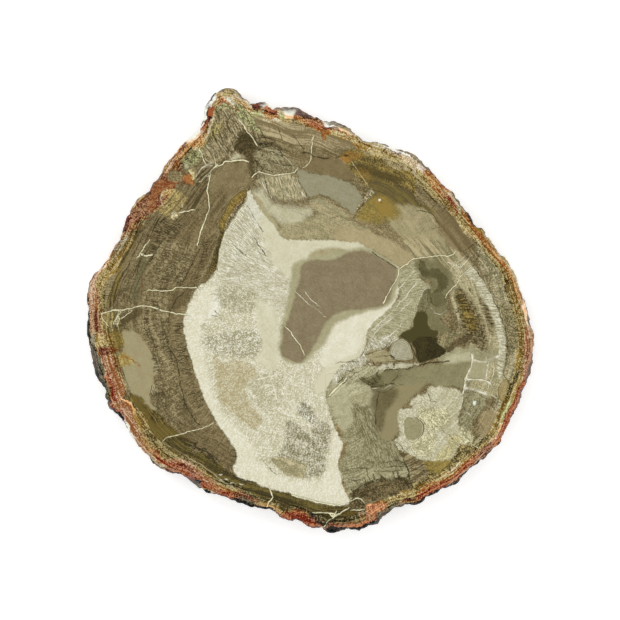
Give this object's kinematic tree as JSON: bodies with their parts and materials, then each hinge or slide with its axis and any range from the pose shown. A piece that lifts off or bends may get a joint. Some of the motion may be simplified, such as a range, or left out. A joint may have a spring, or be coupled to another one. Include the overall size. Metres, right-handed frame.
{
  "type": "petrified wood slice",
  "caption": "Flat slice sawn across a petrified log, polished on top and sawn flat below, with rough natural rind all round its edge.",
  "frame": {"origin": "middle of the bounding box at its bottom, on the sawn back that the slice rests on", "axes": "+Z along the old log, out of the polished face; +Y towards the side with the spur, as the picture's upright; +X to the picture's right"},
  "size_m": [0.23, 0.2288, 0.018],
  "materials": {
    "petrified_wood": "polished"
  },
  "bodies": {
    "root": {"petrified_wood_slice": "petrified_wood"}
  },
  "joints": []
}
